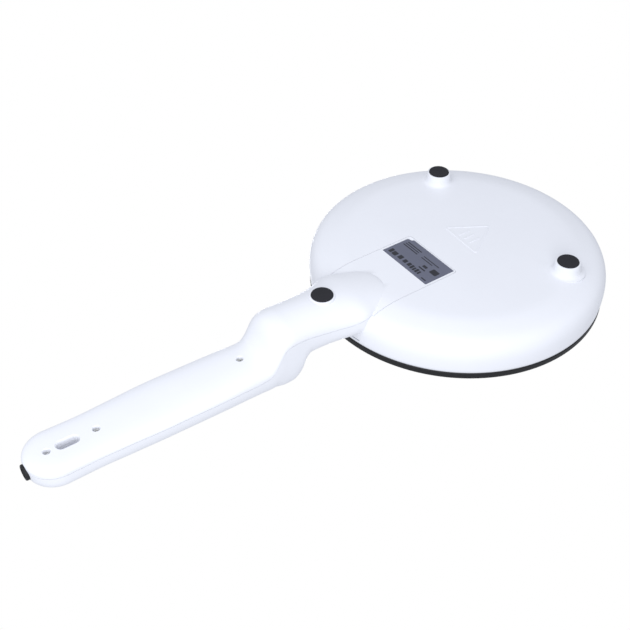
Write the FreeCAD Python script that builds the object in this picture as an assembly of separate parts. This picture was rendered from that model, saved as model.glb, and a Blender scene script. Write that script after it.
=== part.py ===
import FreeCAD, Part
import math
import os

# Hand-held dip crepe maker, standing on its three feet with the domed plate up.
# Frame: +Z up, +X along the handle, origin on the ground under the middle of the whole object.
# "reach" is the distance from the plate's axis along the handle, in +X.

V = FreeCAD.Vector
UP = V(0, 0, 1)
ALONG = V(1, 0, 0)
ACROSS = V(0, 1, 0)

# ---- driving dimensions, mm ----
SHELL_R = 102.5          # widest radius of the white housing
HANDLE_REACH = 321.8     # plate axis to the handle's rounded end
GLAND_PROUD = 1.2        # how far the cord gland stands out of that end
PLATE_X = (SHELL_R - HANDLE_REACH - GLAND_PROUD) / 2.0

FLOOR_Z = 8.5            # flat underside of the housing
RIM_Z = 35.5             # top edge of the housing wall, where the plate begins
RIM_R = 101.8            # housing radius at that edge
WIDEST_Z = 22.5
FLAT_R = 79.0            # the flat underside ends here and the shoulder begins
SHOULDER_R = 93.0
SHOULDER_Z = 11.3
WALL = 2.4               # housing wall
COVER_WALL = 2.2         # handle walls and the tongue

PLATE_R = 102.0
PLATE_BAND = 4.0         # visible black edge of the plate, with the seal under it
SEAL = 0.5
DOME_RISE = 9.0
BOSS_R = 4.4             # the plate's screw bosses

SEAM_GAP = 0.35          # open line between the lower cover and the body
TONGUE_HALF = 24.5
TONGUE_END = 22.5        # reach of the tongue's inner end
LABEL_HALF = 22.7

FOOT_R = 7.25
FOOT_PROUD = 0.8
FOOT_DEPTH = 2.2
FOOT_RING = 1.1          # white ring round the rubber pad
FOOT_CIRCLE = 75.8
FOOT_ANGLE = 60.0        # from the side away from the handle
NECK_FOOT_REACH = 115.0

HANDLE_SCREWS = (177.9, 276.3, 307.3)
SCREW_HEAD_R = 1.9
SCREW_SHANK_R = 1.35
SCREW_HOLE_R = 2.1
SCREW_SINK = 3.4         # depth of the handle screws' seats below the underside
PLATE_SCREW_REACH = 35.0

SLOT_REACH = 294.2
SLOT_LENGTH = 13.6
SLOT_WIDTH = 6.0
SLOT_WALL = 1.6

GLAND_Z = 32.3
GLAND_R = 5.4
GLAND_NECK_R = 4.4
GLAND_FLANGE_R = 4.75    # flange inside the wall, clear of the cover's floor
GLAND_SEAT = 1.4         # how far the gland's collar is let into the end
GLAND_BORE_R = 3.3

SWITCH_REACH = 196.0
SWITCH_PIVOT_Z = 45.6
ROCKER_R = 8.9
ROCKER_HALF_WIDTH = 5.2
ROCKER_LEAN = 9.5        # degrees to either side of level
PIVOT_R = 1.2
LAMP_REACH = 172.0
LAMP_Y = 6.5
LAMP_R = 2.6
BEZEL_Z = 47.5           # top of the switch's bezel
CLAMP_REACH = 262.0      # cord clamp
CLAMP_Y = 9.0
CLAMP_Z = 36.0

ELEMENT_R = 62.0         # heating element ring
ELEMENT_TUBE_R = 3.3
ELEMENT_Z = 35.9
SHIELD_Z = 25.0
SHIELD_SHEET = 0.7       # thickness of the heat shield
SHIELD_HOLE_R = 20.0
THERMOSTAT_R = 9.0
TERMINAL_REACH = 238.0
WIRE_R = 1.1

# Side outline of the handle: reach and height of its underside and of its top.
UNDERSIDE = (
    (60, 10.5), (70, 8.0), (84, 4.6), (100, 2.0), (115, 1.1), (135, 1.1),
    (146, 1.2), (153, 2.8), (158.5, 7.6), (162, 13.4), (165.5, 18.4), (171, 21.4),
    (180, 22.3), (205, 23.0), (235, 23.6), (265, 24.2), (303, 25.1), (324, 25.4),
)
TOP_SIDE = (
    (60, 30.5), (100, 31.0), (126, 31.8), (133, 33.2), (137.5, 37.0), (140.5, 42.5),
    (144.5, 47.2), (150, 49.7), (156, 49.8), (164, 48.7), (180, 47.6), (205, 46.6),
    (235, 45.6), (265, 44.5), (303, 42.0), (324, 41.0),
)
# The seam between the lower cover and the body, along the same side.
SEAM = (
    (10, 12.0), (50, 12.0), (88, 12.2), (98, 12.7), (110, 14.6), (128, 13.5), (142, 12.7), (150, 13.0),
    (155, 15.8), (158.5, 21.5), (162, 28.0), (168, 30.9), (176, 31.1), (205, 30.0),
    (235, 29.0), (270, 29.0), (330, 29.3),
)
GRIP_HALF = 19.2         # half width of the grip and the neck
FLARE_HALF = 24.3        # half width where the neck meets the housing
NECK_END = 128.0         # the neck's sides are parallel from here on
EDGE_CUT = 5.0           # bevel along the handle's long edges
SIDE_EXTRA = 2.0         # the handle's side walls are this much thicker than its skin
MIDDLE_Z = 28.0          # between the handle's lower and upper edges

def at(reach, y, z):
    """A point given by its reach along the handle."""
    return V(PLATE_X + reach, y, z)


def cylinder(reach, y, low, high, radius):
    return Part.makeCylinder(radius, high - low, at(reach, y, low), UP)


def block(reach_low, reach_high, half_width, low, high, y=0.0):
    corner = at(reach_low, y - half_width, low)
    return Part.makeBox(reach_high - reach_low, 2.0 * half_width, high - low, corner)


def fuse(shapes):
    whole = shapes[0]
    if len(shapes) > 1:
        whole = whole.fuse(list(shapes[1:]))
    return whole.removeSplitter()


def largest(shape):
    return max(shape.Solids, key=lambda solid: solid.Volume)


def save(name, shape):
    if not shape.isValid():
        print("invalid shape:", name)
    if shape.ShapeType == "Compound" and len(shape.Solids) == 1:
        shape = shape.Solids[0]
    shape.exportStep("parts/" + name + ".step")
    print(name, len(shape.Solids), "solid(s)", round(shape.Volume / 1000.0, 2), "cm3")


def height_at(outline, reach):
    """Height of an outline at a reach, by straight interpolation."""
    for (x0, z0), (x1, z1) in zip(outline, outline[1:]):
        if x0 <= reach <= x1:
            return z0 + (z1 - z0) * (reach - x0) / (x1 - x0)
    return outline[-1][1]


def outline_curve(outline, lift):
    """A smooth curve through an outline's points, on the far side of the handle."""
    curve = Part.BSplineCurve()
    curve.interpolate(Points=[at(reach, -40.0, z + lift) for reach, z in outline])
    return curve.toShape()


def side_prism(inset):
    """The handle's side outline, shrunk by inset and carried right across it."""
    low = outline_curve(UNDERSIDE, inset)
    top = outline_curve(TOP_SIDE, -inset)
    low_start = low.Vertexes[0].Point
    low_end = low.Vertexes[-1].Point
    top_start = top.Vertexes[0].Point
    top_end = top.Vertexes[-1].Point
    edges = [low, Part.makeLine(low_end, top_end), top, Part.makeLine(top_start, low_start)]
    return Part.Face(Part.Wire(edges)).extrude(V(0, 80.0, 0))


def plan_prism(inset):
    """The handle's plan outline, shrunk by inset: flared neck, straight grip, round end."""
    half = GRIP_HALF - inset
    flare = Part.BSplineCurve()
    flare.interpolate(
        Points=[
            at(62.0, -13.0 + inset, -5.0),
            at(74.0, -17.5 + inset, -5.0),
            at(98.0, -FLARE_HALF + inset, -5.0),
            at(112.0, -20.8 + inset, -5.0),
            at(NECK_END, -half, -5.0),
        ],
        InitialTangent=V(1, -1, 0),
        FinalTangent=V(1, 0, 0),
    )
    near = flare.toShape()
    far = near.mirror(V(0, 0, 0), ACROSS)
    tip = HANDLE_REACH - GRIP_HALF
    round_end = Part.Arc(at(tip, -half, -5.0), at(tip + half, 0, -5.0), at(tip, half, -5.0))
    edges = [
        near,
        Part.makeLine(at(NECK_END, -half, -5.0), at(tip, -half, -5.0)),
        round_end.toShape(),
        Part.makeLine(at(tip, half, -5.0), at(NECK_END, half, -5.0)),
        far,
        Part.makeLine(at(62.0, 13.0 - inset, -5.0), at(62.0, -13.0 + inset, -5.0)),
    ]
    return Part.Face(Part.Wire(Part.__sortEdges__(edges))).extrude(V(0, 0, 80.0))


def handle_form():
    """The whole handle as one closed form with bevelled long edges."""
    form = side_prism(0.0).common(plan_prism(0.0))
    for below in (True, False):
        edges = []
        for edge in form.Edges:
            box = edge.BoundBox
            lying = box.XLength + box.YLength > 3.0 and box.XMax > PLATE_X + 63.0
            low_side = box.ZMax < MIDDLE_Z
            high_side = box.ZMin > MIDDLE_Z
            if lying and (low_side if below else high_side):
                edges.append(edge)
        form = form.makeChamfer(EDGE_CUT, edges)
    return form


def handle_cavity():
    """The hollow inside the handle; its sides are thicker so that the bevels stay closed."""
    return side_prism(COVER_WALL).common(plan_prism(COVER_WALL + SIDE_EXTRA))


def seam_slab(above, shift):
    """Everything above or below the seam line, as a wide slab with a curved face."""
    curve = Part.BSplineCurve()
    curve.interpolate(Points=[at(reach, -60.0, z + shift) for reach, z in SEAM])
    limit = 90.0 if above else -20.0
    start = at(SEAM[0][0], -60.0, SEAM[0][1] + shift)
    finish = at(SEAM[-1][0], -60.0, SEAM[-1][1] + shift)
    corner_a = V(finish.x, finish.y, limit)
    corner_b = V(start.x, start.y, limit)
    edges = [
        curve.toShape(),
        Part.makeLine(finish, corner_a),
        Part.makeLine(corner_a, corner_b),
        Part.makeLine(corner_b, start),
    ]
    return Part.Face(Part.Wire(edges)).extrude(V(0, 120.0, 0))


def disc_form(inset, top):
    """The round housing as a solid of revolution, shrunk by inset and cut off at top."""
    lift = inset
    flat_r = FLAT_R - 0.2 * inset
    points = [
        V(0, 0, FLOOR_Z + lift),
        V(flat_r - 4.0, 0, FLOOR_Z + lift),
        V(flat_r + 4.0, 0, FLOOR_Z + 0.5 + lift),
        V(SHOULDER_R - 0.5 * inset, 0, SHOULDER_Z + lift),
        V(99.6 - inset, 0, 15.6 + 0.4 * lift),
        V(SHELL_R - inset, 0, WIDEST_Z),
        V(RIM_R - inset, 0, RIM_Z),
        V(RIM_R - inset, 0, top),
        V(0, 0, top),
    ]
    soft_edge = Part.Arc(points[1], V(flat_r, 0, FLOOR_Z + 0.12 + lift), points[2])
    shoulder = Part.makeLine(points[2], points[3])
    corner = Part.BSplineCurve()
    corner.interpolate(
        Points=[points[3], points[4], points[5]],
        InitialTangent=V(12.0, 0, 2.6),
        FinalTangent=V(0, 0, 9.0),
    )
    wall = Part.BSplineCurve()
    wall.interpolate(
        Points=[points[5], points[6]],
        InitialTangent=V(0, 0, 13.0),
        FinalTangent=V(-1.3, 0, 13.0),
    )
    edges = [
        Part.makeLine(points[0], points[1]),
        soft_edge.toShape(),
        shoulder,
        corner.toShape(),
        wall.toShape(),
    ]
    if top > RIM_Z:
        edges.append(Part.makeLine(points[6], points[7]))
    edges.append(Part.makeLine(points[7], points[8]))
    edges.append(Part.makeLine(points[8], points[0]))
    face = Part.Face(Part.Wire(edges))
    solid = face.revolve(V(0, 0, 0), UP, 360.0)
    solid.translate(V(PLATE_X, 0, 0))
    return solid


def tongue_prism(grow):
    """Plan shape of the tongue that runs in under the plate, square at its inner end."""
    half = TONGUE_HALF + grow
    start = TONGUE_END - grow
    prism = block(start, 106.0, half, -5.0, 30.0)
    corners = [e for e in prism.Edges if is_upright_at(e, PLATE_X + start)]
    return prism.makeFillet(2.0 + grow, corners)


def is_upright_at(edge, x):
    ends = [v.Point for v in edge.Vertexes]
    if len(ends) != 2:
        return False
    upright = abs(ends[0].z - ends[1].z) > 1.0 and ends[0].distanceToPoint(ends[1]) > 1.0
    return upright and abs(ends[0].x - x) < 0.01 and abs(ends[1].x - x) < 0.01


def slot_form(half_width, half_length, low, high):
    """A stadium-shaped column on the hanging slot's axis."""
    straight = half_length - half_width
    column = block(SLOT_REACH - straight, SLOT_REACH + straight, half_width, low, high)
    ends = [cylinder(SLOT_REACH + s * straight, 0, low, high, half_width) for s in (-1, 1)]
    return fuse([column] + ends)


def foot_places():
    """Reach and y of the two feet under the plate."""
    angle = math.radians(FOOT_ANGLE)
    reach = -FOOT_CIRCLE * math.cos(angle)
    side = FOOT_CIRCLE * math.sin(angle)
    return [(reach, side), (reach, -side)]


def plate_screw_places():
    return foot_places() + [(PLATE_SCREW_REACH, 0.0)]


def foot_post(reach, y):
    """A round post with a flared root, from the housing's floor to its ring round the pad."""
    ring = FOOT_R + FOOT_RING
    points = [
        V(0, 0, FOOT_PROUD),
        V(ring - 0.4, 0, FOOT_PROUD),
        V(ring, 0, FOOT_PROUD + 0.4),
        V(ring + 0.5, 0, FLOOR_Z - 2.6),
        V(ring + 3.4, 0, FLOOR_Z + 0.3),
        V(0, 0, FLOOR_Z + 0.3),
    ]
    flare = Part.Arc(points[3], V(ring + 1.3, 0, FLOOR_Z - 0.8), points[4]).toShape()
    edges = [Part.makeLine(points[i], points[i + 1]) for i in (0, 1, 2)]
    edges.append(flare)
    edges.append(Part.makeLine(points[4], points[5]))
    edges.append(Part.makeLine(points[5], points[0]))
    post = Part.Face(Part.Wire(edges)).revolve(V(0, 0, 0), UP, 360.0)
    post.translate(at(reach, y, 0))
    return post


def foot_pocket(reach, y):
    return cylinder(reach, y, -1.0, FOOT_PROUD + FOOT_DEPTH, FOOT_R + 0.1)


def rim_slot():
    """Two short slots in the wall above the neck's root, under the plate's edge."""
    low = RIM_Z - 3.6
    return [block(92.0, 106.0, 3.5, low, low + 1.3, side * 17.5) for side in (-1, 1)]


def switch_pocket():
    """Flat seat and through hole for the switch, and holes for the two lamps."""
    seat = block(SWITCH_REACH - 13.2, SWITCH_REACH + 13.2, 8.7, SWITCH_PIVOT_Z, 60.0)
    hole = block(SWITCH_REACH - 10.6, SWITCH_REACH + 10.6, 6.9, 30.0, 60.0)
    lamps = [cylinder(LAMP_REACH, s * LAMP_Y, 38.0, 60.0, LAMP_R + 0.1) for s in (-1, 1)]
    return fuse([seat, hole] + lamps)


def slot_sleeve(low, high):
    half_width = SLOT_WIDTH / 2.0 + SLOT_WALL
    half_length = SLOT_LENGTH / 2.0 + SLOT_WALL
    return slot_form(half_width, half_length, low, high)


def slot_hole():
    return slot_form(SLOT_WIDTH / 2.0, SLOT_LENGTH / 2.0, 0.0, 60.0)


def body_ribs():
    """Screw bosses, the slot's sleeve and the cord clamp's bosses inside the upper half."""
    neck_roof = height_at(TOP_SIDE, NECK_FOOT_REACH) - 1.0
    ribs = [cylinder(NECK_FOOT_REACH, 0, 6.6, neck_roof, 3.6)]
    for reach in HANDLE_SCREWS:
        roof = height_at(TOP_SIDE, reach) - 1.0
        ribs.append(cylinder(reach, 0, height_at(SEAM, reach) + 1.0, roof, 3.1))
    sleeve_low = height_at(SEAM, SLOT_REACH) + SEAM_GAP / 2.0
    ribs.append(slot_sleeve(sleeve_low, height_at(TOP_SIDE, SLOT_REACH) - 0.5))
    roof = height_at(TOP_SIDE, CLAMP_REACH) - 1.0
    ribs += [cylinder(CLAMP_REACH, s * CLAMP_Y, CLAMP_Z, roof, 2.6) for s in (-1, 1)]
    return ribs


def gland_cuts():
    """Seat for the gland's collar and the hole for its neck, through the handle's end."""
    seat = at(HANDLE_REACH - GLAND_SEAT, 0, GLAND_Z)
    inside = at(HANDLE_REACH - 8.0, 0, GLAND_Z)
    collar_seat = Part.makeCylinder(GLAND_R + 0.1, 10.0, seat, ALONG)
    return [collar_seat, Part.makeCylinder(GLAND_NECK_R + 0.1, 20.0, inside, ALONG)]


def body_cuts():
    """Everything drilled, sunk or slotted in the body."""
    cuts = [foot_pocket(r, y) for r, y in foot_places()]
    cuts += [cylinder(r, y, 0.0, 20.0, SCREW_SHANK_R + 0.25) for r, y in plate_screw_places()]
    post = FOOT_PROUD + FOOT_DEPTH
    cuts += [cylinder(r, y, 0.0, post + 1.5, SCREW_HEAD_R + 0.2) for r, y in foot_places()]
    cuts.append(cylinder(NECK_FOOT_REACH, 0, 5.0, 17.0, SCREW_SHANK_R))
    cuts += [cylinder(r, 0, 20.0, 39.0, SCREW_SHANK_R) for r in HANDLE_SCREWS]
    cuts += [cylinder(CLAMP_REACH, s * CLAMP_Y, 30.0, 42.0, 1.0) for s in (-1, 1)]
    return cuts + gland_cuts() + [slot_hole(), switch_pocket()] + rim_slot()


def body_shell():
    """Round housing and the handle's upper half, moulded in one piece."""
    upper = HANDLE.common(seam_slab(True, SEAM_GAP / 2.0))
    outer = DISC.fuse([upper] + [foot_post(r, y) for r, y in foot_places()])
    shell = outer.cut([disc_form(WALL, RIM_Z + 5.0), CAVITY])
    thick_floor = block(TONGUE_END - 3.0, 90.0, TONGUE_HALF + 3.0, FLOOR_Z, 13.4)
    recess = tongue_prism(SEAM_GAP).common(seam_slab(False, SEAM_GAP / 2.0))
    recess = recess.cut(disc_form(COVER_WALL + 0.2, RIM_Z))
    shell = shell.fuse(thick_floor.common(DISC)).cut([recess, CAVITY])
    return largest(shell.fuse(body_ribs()).cut(body_cuts()))


def lower_cover():
    """The handle's lower half, the neck's ridge and the tongue under the plate, in one piece."""
    below = seam_slab(False, -SEAM_GAP / 2.0)
    tongue = tongue_prism(0.0).common(DISC).common(below)
    cover = HANDLE.common(below).fuse([tongue])
    cover = cover.cut([disc_form(COVER_WALL, RIM_Z), CAVITY])
    ribs = [cylinder(NECK_FOOT_REACH, 0, FOOT_PROUD, 6.4, FOOT_R + FOOT_RING)]
    for reach in HANDLE_SCREWS:
        low = height_at(UNDERSIDE, reach) + 1.0
        boss_top = height_at(SEAM, reach) - SEAM_GAP / 2.0
        ribs.append(cylinder(reach, 0, low, boss_top, SCREW_HOLE_R + 1.6))
    sleeve_top = height_at(SEAM, SLOT_REACH) - SEAM_GAP / 2.0
    ribs.append(slot_sleeve(height_at(UNDERSIDE, SLOT_REACH) + 0.5, sleeve_top))
    cuts = [foot_pocket(NECK_FOOT_REACH, 0), slot_hole()] + gland_cuts()
    cuts.append(cylinder(NECK_FOOT_REACH, 0, 2.0, 7.0, SCREW_SHANK_R + 0.2))
    cuts.append(cylinder(NECK_FOOT_REACH, 0, 2.0, 4.6, SCREW_HEAD_R + 0.2))
    for reach in HANDLE_SCREWS:
        head_z = height_at(UNDERSIDE, reach) + SCREW_SINK
        cuts.append(cylinder(reach, 0, 10.0, head_z, SCREW_HOLE_R))
        cuts.append(cylinder(reach, 0, 10.0, 40.0, SCREW_SHANK_R + 0.2))
    cuts.append(block(23.3, 48.2, LABEL_HALF + 0.2, FLOOR_Z - 1.0, FLOOR_Z + 0.45))
    cuts.append(cylinder(PLATE_SCREW_REACH, 0, 0.0, FLOOR_Z + 1.95, SCREW_HEAD_R + 0.4))
    cuts.append(cylinder(PLATE_SCREW_REACH, 0, 0.0, 20.0, SCREW_SHANK_R + 0.25))
    return largest(cover.fuse(ribs).cut(cuts))


def revolved(points):
    """A solid of revolution about the plate's axis from (radius, height) corners."""
    corners = [V(r, 0, z) for r, z in points]
    corners.append(corners[0])
    solid = Part.Face(Part.makePolygon(corners)).revolve(V(0, 0, 0), UP, 360.0)
    solid.translate(V(PLATE_X, 0, 0))
    return solid


def ball_cap(radius, rise, base_z):
    """A dome of the given base radius and rise, standing on base_z."""
    ball_r = (radius * radius + rise * rise) / (2.0 * rise)
    ball = Part.makeSphere(ball_r, V(PLATE_X, 0, base_z + rise - ball_r))
    slab = Part.makeCylinder(radius + 5.0, rise + 5.0, V(PLATE_X, 0, base_z), UP)
    return ball.common(slab)


def cooking_plate():
    """Domed cast plate with a short upright edge, screw bosses and ribs for the element."""
    edge_top = RIM_Z + PLATE_BAND
    soft = 1.6
    rim = revolved([
        (0, RIM_Z + SEAL), (PLATE_R, RIM_Z + SEAL), (PLATE_R, edge_top),
        (PLATE_R - soft, edge_top + soft), (0, edge_top + soft),
    ])
    dome = ball_cap(PLATE_R - soft, DOME_RISE - soft, edge_top + soft)
    under = edge_top + soft - 1.6
    hollow = Part.makeCylinder(PLATE_R - 4.0, under - RIM_Z + 5.0, V(PLATE_X, 0, RIM_Z - 5.0), UP)
    plate = rim.fuse(dome).cut(hollow)
    ribs = []
    for side in (-1, 1):
        inner = ELEMENT_R + side * (ELEMENT_TUBE_R + 1.7) - 1.4
        outer = Part.makeCylinder(inner + 2.8, 2.6, V(PLATE_X, 0, under - 2.5), UP)
        core = Part.makeCylinder(inner, 2.6, V(PLATE_X, 0, under - 2.5), UP)
        ribs.append(outer.cut(core))
    for reach, y in plate_screw_places():
        low = 11.2 if reach < 0 else 13.6
        ribs.append(cylinder(reach, y, low, under + 1.0, BOSS_R))
    ribs.append(cylinder(0, 0, 34.0, under + 1.0, 6.0))
    plate = plate.fuse(ribs)
    holes = [cylinder(r, y, 5.0, 30.0, SCREW_SHANK_R) for r, y in plate_screw_places()]
    holes.append(cylinder(0, 0, 30.0, 38.5, 1.3))
    holes.append(cylinder(22.0, -22.0, 36.0, 41.5, 1.3))
    return plate.cut(holes)


def plate_seal():
    """Flat silicone ring between the housing's top edge and the plate."""
    outer = RIM_R - 0.4
    inner = outer - 1.6
    high = RIM_Z + SEAL
    return revolved([(inner, RIM_Z), (outer, RIM_Z), (outer, high), (inner, high)])


def heating_element():
    """Sheathed ring, open beside the neck, with both ends turned inward."""
    gap = math.radians(16.0)
    z = ELEMENT_Z
    ends = []
    for side in (-1, 1):
        ends.append(at(ELEMENT_R * math.cos(gap), side * ELEMENT_R * math.sin(gap), z))
    far_side = at(-ELEMENT_R, 0, z)
    ring = Part.Arc(ends[0], far_side, ends[1]).toShape()
    path = Part.Wire([ring])
    circle = Part.makeCircle(ELEMENT_TUBE_R, ends[0], V(math.sin(gap), math.cos(gap), 0))
    body = path.makePipeShell([Part.Wire([circle])], True, False)
    return body


def element_pins():
    """Two cold pins that stand out of the element's sealed ends."""
    pins = []
    gap = math.radians(16.0)
    for side in (-1, 1):
        end = at(ELEMENT_R * math.cos(gap), side * ELEMENT_R * math.sin(gap), ELEMENT_Z)
        direction = V(math.sin(gap), -side * math.cos(gap), 0)
        pins.append(Part.makeCylinder(1.2, 7.0, end, direction))
    return Part.makeCompound(pins)


def element_straps():
    """Three pressed clips under the element, each held on the plate's inner rib."""
    straps = []
    for degrees in (60.0, 180.0, 300.0):
        strap = Part.makeBox(15.0, 8.0, 1.0, V(-7.5, -4.0, 0))
        strap.rotate(V(0, 0, 0), UP, degrees)
        angle = math.radians(degrees)
        low = ELEMENT_Z - ELEMENT_TUBE_R - 1.05
        strap.translate(at(ELEMENT_R * math.cos(angle), ELEMENT_R * math.sin(angle), low))
        straps.append(strap)
    return Part.makeCompound(straps)


def heat_shield():
    """Thin dished ring that keeps the plate's heat off the housing."""
    z = SHIELD_Z
    lip = [(92.0, z), (95.0, z + 5.0), (94.3, z + 5.4), (91.6, z + SHIELD_SHEET)]
    shield = revolved([(SHIELD_HOLE_R, z)] + lip + [(SHIELD_HOLE_R, z + SHIELD_SHEET)])
    holes = [cylinder(r, y, 10.0, 40.0, BOSS_R + 0.5) for r, y in plate_screw_places()]
    holes.append(cylinder(22.0, -22.0, 10.0, 40.0, 4.0))
    return shield.cut(holes)


def thermostat():
    """Round snap-disc thermostat under the middle of the plate, with two terminal blades."""
    case = cylinder(0, 0, 25.4, 33.6, THERMOSTAT_R)
    cap = cylinder(0, 0, 33.6, 34.0, 6.0)
    blades = [block(-5.0 + s * 3.0, -4.2 + s * 3.0, 3.0, 19.0, 25.6) for s in (-1, 4)]
    screw_hole = cylinder(0, 0, 10.0, 40.0, 1.5)
    return fuse([case, cap] + blades).cut(screw_hole)


def pan_screw(reach, y, head_z, length, head_up=False):
    """A pan-head screw with a cross recess; its shank points up unless head_up is set."""
    head = Part.makeCylinder(SCREW_HEAD_R, 1.4, V(0, 0, -1.4), UP)
    shank = Part.makeCylinder(SCREW_SHANK_R - 0.05, length, V(0, 0, -0.1), UP)
    cross = [Part.makeBox(2.4, 0.5, 0.7, V(-1.2, -0.25, -1.5))]
    cross.append(Part.makeBox(0.5, 2.4, 0.7, V(-0.25, -1.2, -1.5)))
    screw = head.fuse(shank).cut(cross)
    if head_up:
        screw.rotate(V(0, 0, 0), ALONG, 180.0)
    screw.translate(at(reach, y, head_z))
    return screw


def handle_screws():
    screws = [pan_screw(r, 0, height_at(UNDERSIDE, r) + SCREW_SINK - 0.05, 10.0) for r in HANDLE_SCREWS]
    return Part.makeCompound(screws)


def plate_screws():
    post = FOOT_PROUD + FOOT_DEPTH
    screws = [pan_screw(r, y, post + 1.45, 16.0) for r, y in foot_places()]
    screws.append(pan_screw(PLATE_SCREW_REACH, 0, FLOOR_Z + 1.9, 12.0))
    return Part.makeCompound(screws)


def rubber_foot(reach, y):
    """Pad with a soft lower edge, sunk in the ring at the end of its post."""
    pad = cylinder(reach, y, 0.0, FOOT_PROUD + FOOT_DEPTH, FOOT_R)
    lower = [e for e in pad.Edges if e.BoundBox.ZMax < 0.01]
    return pad.makeFillet(0.4, lower)


def rating_label():
    return block(23.5, 48.0, LABEL_HALF, FLOOR_Z + 0.15, FLOOR_Z + 0.4)


def cord_gland():
    """Rubber collar on the handle's end, a neck through the wall, a flange and a short sleeve."""
    face = HANDLE_REACH + GLAND_PROUD
    seat = HANDLE_REACH - GLAND_SEAT
    inner = seat - 4.0
    collar = Part.makeCylinder(GLAND_R, face - seat, at(seat, 0, GLAND_Z), ALONG)
    rounded = [e for e in collar.Edges if e.BoundBox.XMin > PLATE_X + face - 0.01]
    collar = collar.makeFillet(0.6, rounded)
    neck = Part.makeCylinder(GLAND_NECK_R, seat - inner + 1.0, at(inner, 0, GLAND_Z), ALONG)
    flange = Part.makeCylinder(GLAND_FLANGE_R, 1.2, at(inner - 1.2, 0, GLAND_Z), ALONG)
    bore = Part.makeCylinder(GLAND_BORE_R, 20.0, at(HANDLE_REACH - 8.0, 0, GLAND_Z), ALONG)
    return fuse([collar, neck, flange]).cut(bore)


def cord_clamp():
    """Strap that presses the cord against the body between two screws."""
    strap = block(CLAMP_REACH - 3.0, CLAMP_REACH + 3.0, 11.5, CLAMP_Z - 2.0, CLAMP_Z)
    hump = Part.makeCylinder(3.6, 6.0, at(CLAMP_REACH - 3.0, 0, CLAMP_Z + 1.4), ALONG)
    hump = hump.common(block(CLAMP_REACH - 3.0, CLAMP_REACH + 3.0, 6.0, 30.0, CLAMP_Z + 0.1))
    holes = [cylinder(CLAMP_REACH, s * CLAMP_Y, 30.0, 40.0, 1.6) for s in (-1, 1)]
    return strap.fuse(hump).cut(holes)


def clamp_screws():
    screws = []
    for side in (-1, 1):
        y = side * CLAMP_Y
        head = cylinder(CLAMP_REACH, y, CLAMP_Z - 3.4, CLAMP_Z - 2.0, 2.2)
        shank = cylinder(CLAMP_REACH, y, CLAMP_Z - 2.1, CLAMP_Z + 4.0, 0.95)
        screws.append(head.fuse(shank))
    return Part.makeCompound(screws)


def switch_housing():
    """Open-topped box with a flat bezel, pivot holes and a contact carrier below."""
    r = SWITCH_REACH
    bezel = block(r - 13.0, r + 13.0, 8.5, SWITCH_PIVOT_Z + 0.02, BEZEL_Z)
    upright = [e for e in bezel.Edges if e.BoundBox.ZLength > 1.0]
    bezel = bezel.makeFillet(1.2, upright)
    box = block(r - 10.4, r + 10.4, 6.7, 33.0, BEZEL_Z - 0.5)
    well = block(r - 9.3, r + 9.3, ROCKER_HALF_WIDTH + 0.3, 35.0, 60.0)
    pivot = Part.makeCylinder(PIVOT_R + 0.06, 12.9, at(r, -6.45, SWITCH_PIVOT_Z), ACROSS)
    return bezel.fuse(box).cut([well, pivot])


def switch_rocker():
    """Rocker with two leaning faces, round ends and a pivot, resting in its off position."""
    half = ROCKER_HALF_WIDTH
    wheel = Part.makeCylinder(ROCKER_R, 2.0 * half, V(0, -half, 0), ACROSS)
    rise = math.tan(math.radians(ROCKER_LEAN))
    middle = 1.5
    outline = [
        V(-12, -half, middle + 12 * rise), V(0, -half, middle), V(12, -half, middle + 12 * rise),
        V(12, -half, -2.4), V(3.0, -half, -3.6), V(1.2, -half, -6.4),
        V(-1.2, -half, -6.4), V(-3.0, -half, -3.6), V(-12, -half, -2.4),
    ]
    outline.append(outline[0])
    wedge = Part.Face(Part.makePolygon(outline)).extrude(V(0, 2.0 * half, 0))
    pins = Part.makeCylinder(PIVOT_R, 12.4, V(0, -6.2, 0), ACROSS)
    rocker = wheel.common(wedge).fuse(pins)
    rocker.rotate(V(0, 0, 0), ACROSS, ROCKER_LEAN)
    rocker.translate(at(SWITCH_REACH, 0, SWITCH_PIVOT_Z))
    return rocker


def switch_terminals():
    """Three brass blades under the switch."""
    return Part.makeCompound([
        block(SWITCH_REACH + x - 0.4, SWITCH_REACH + x + 0.4, 2.4, 27.0, 33.0) for x in (-7.0, 0.0, 7.0)
    ])


def lamp_lens(side):
    """Small domed lens with a shoulder inside the handle."""
    y = side * LAMP_Y
    top = 48.6
    stem = cylinder(LAMP_REACH, y, 42.0, top, LAMP_R)
    upper = [e for e in stem.Edges if e.BoundBox.ZMin > top - 0.01]
    stem = stem.makeFillet(1.2, upper)
    return stem.cut(cylinder(LAMP_REACH, y, 41.0, 46.0, 1.9))


def lamp_bulb(side):
    """Neon bulb in the lens, on its two leads."""
    y = side * LAMP_Y
    glass = cylinder(LAMP_REACH, y, 36.0, 44.0, 1.7)
    ends = [e for e in glass.Edges if e.BoundBox.ZMin > 43.9]
    glass = glass.makeFillet(1.0, ends)
    leads = [cylinder(LAMP_REACH + s * 0.9, y, 31.0, 36.1, 0.35) for s in (-1, 1)]
    return fuse([glass] + leads)


def terminal_block():
    """Three-way moulded connector with a clear way through each pole."""
    r = TERMINAL_REACH
    base = block(r - 8.0, r + 8.0, 10.0, 29.5, 38.5)
    ways = []
    for y in (-6.5, 0.0, 6.5):
        ways.append(Part.makeCylinder(1.5, 20.0, at(r - 10.0, y, 34.0), ALONG))
    return base.cut(ways)


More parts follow.
